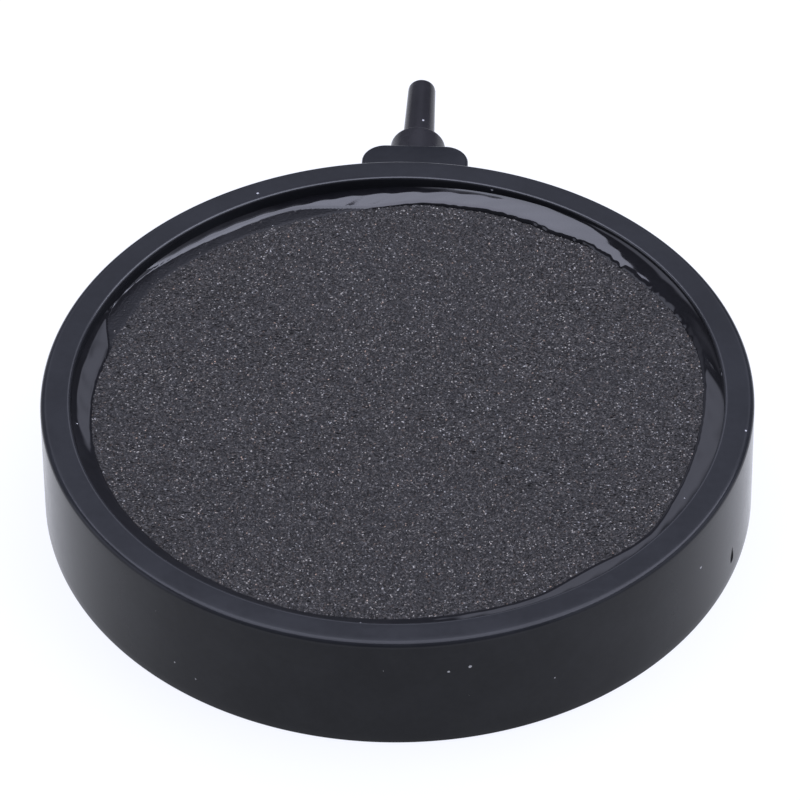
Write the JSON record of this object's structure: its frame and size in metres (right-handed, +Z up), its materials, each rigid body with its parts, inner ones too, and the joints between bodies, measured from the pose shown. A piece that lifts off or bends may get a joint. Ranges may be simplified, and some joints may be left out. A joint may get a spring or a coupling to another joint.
{
  "type": "air stone",
  "caption": "Round low disc of bonded mineral grain glued into a black plastic dish, with a side nipple for airline tubing; air leaves through the pores.",
  "frame": {"origin": "middle of the flat underside, on the dish's axis", "axes": "+Z up along the dish's axis, +Y along the inlet nipple away from the dish, +X to the right seen with the nipple at the back"},
  "size_m": [0.1078, 0.1398, 0.0199],
  "materials": {
    "dish_plastic": "satin black moulding",
    "nipple_plastic": "satin black moulding",
    "bonded_grain": "open pores between fine dark grains, with bright glints",
    "sealant": "wet gloss, cured and slightly wavy",
    "bed_adhesive": "cured adhesive",
    "sleeve_adhesive": "cured adhesive"
  },
  "bodies": {
    "root": {"housing": "dish_plastic", "stone_disc": "bonded_grain", "sealant_bead": "sealant", "bedding_ring": "bed_adhesive", "inlet_nipple": "nipple_plastic", "nipple_bond_sleeve": "sleeve_adhesive"}
  },
  "joints": []
}
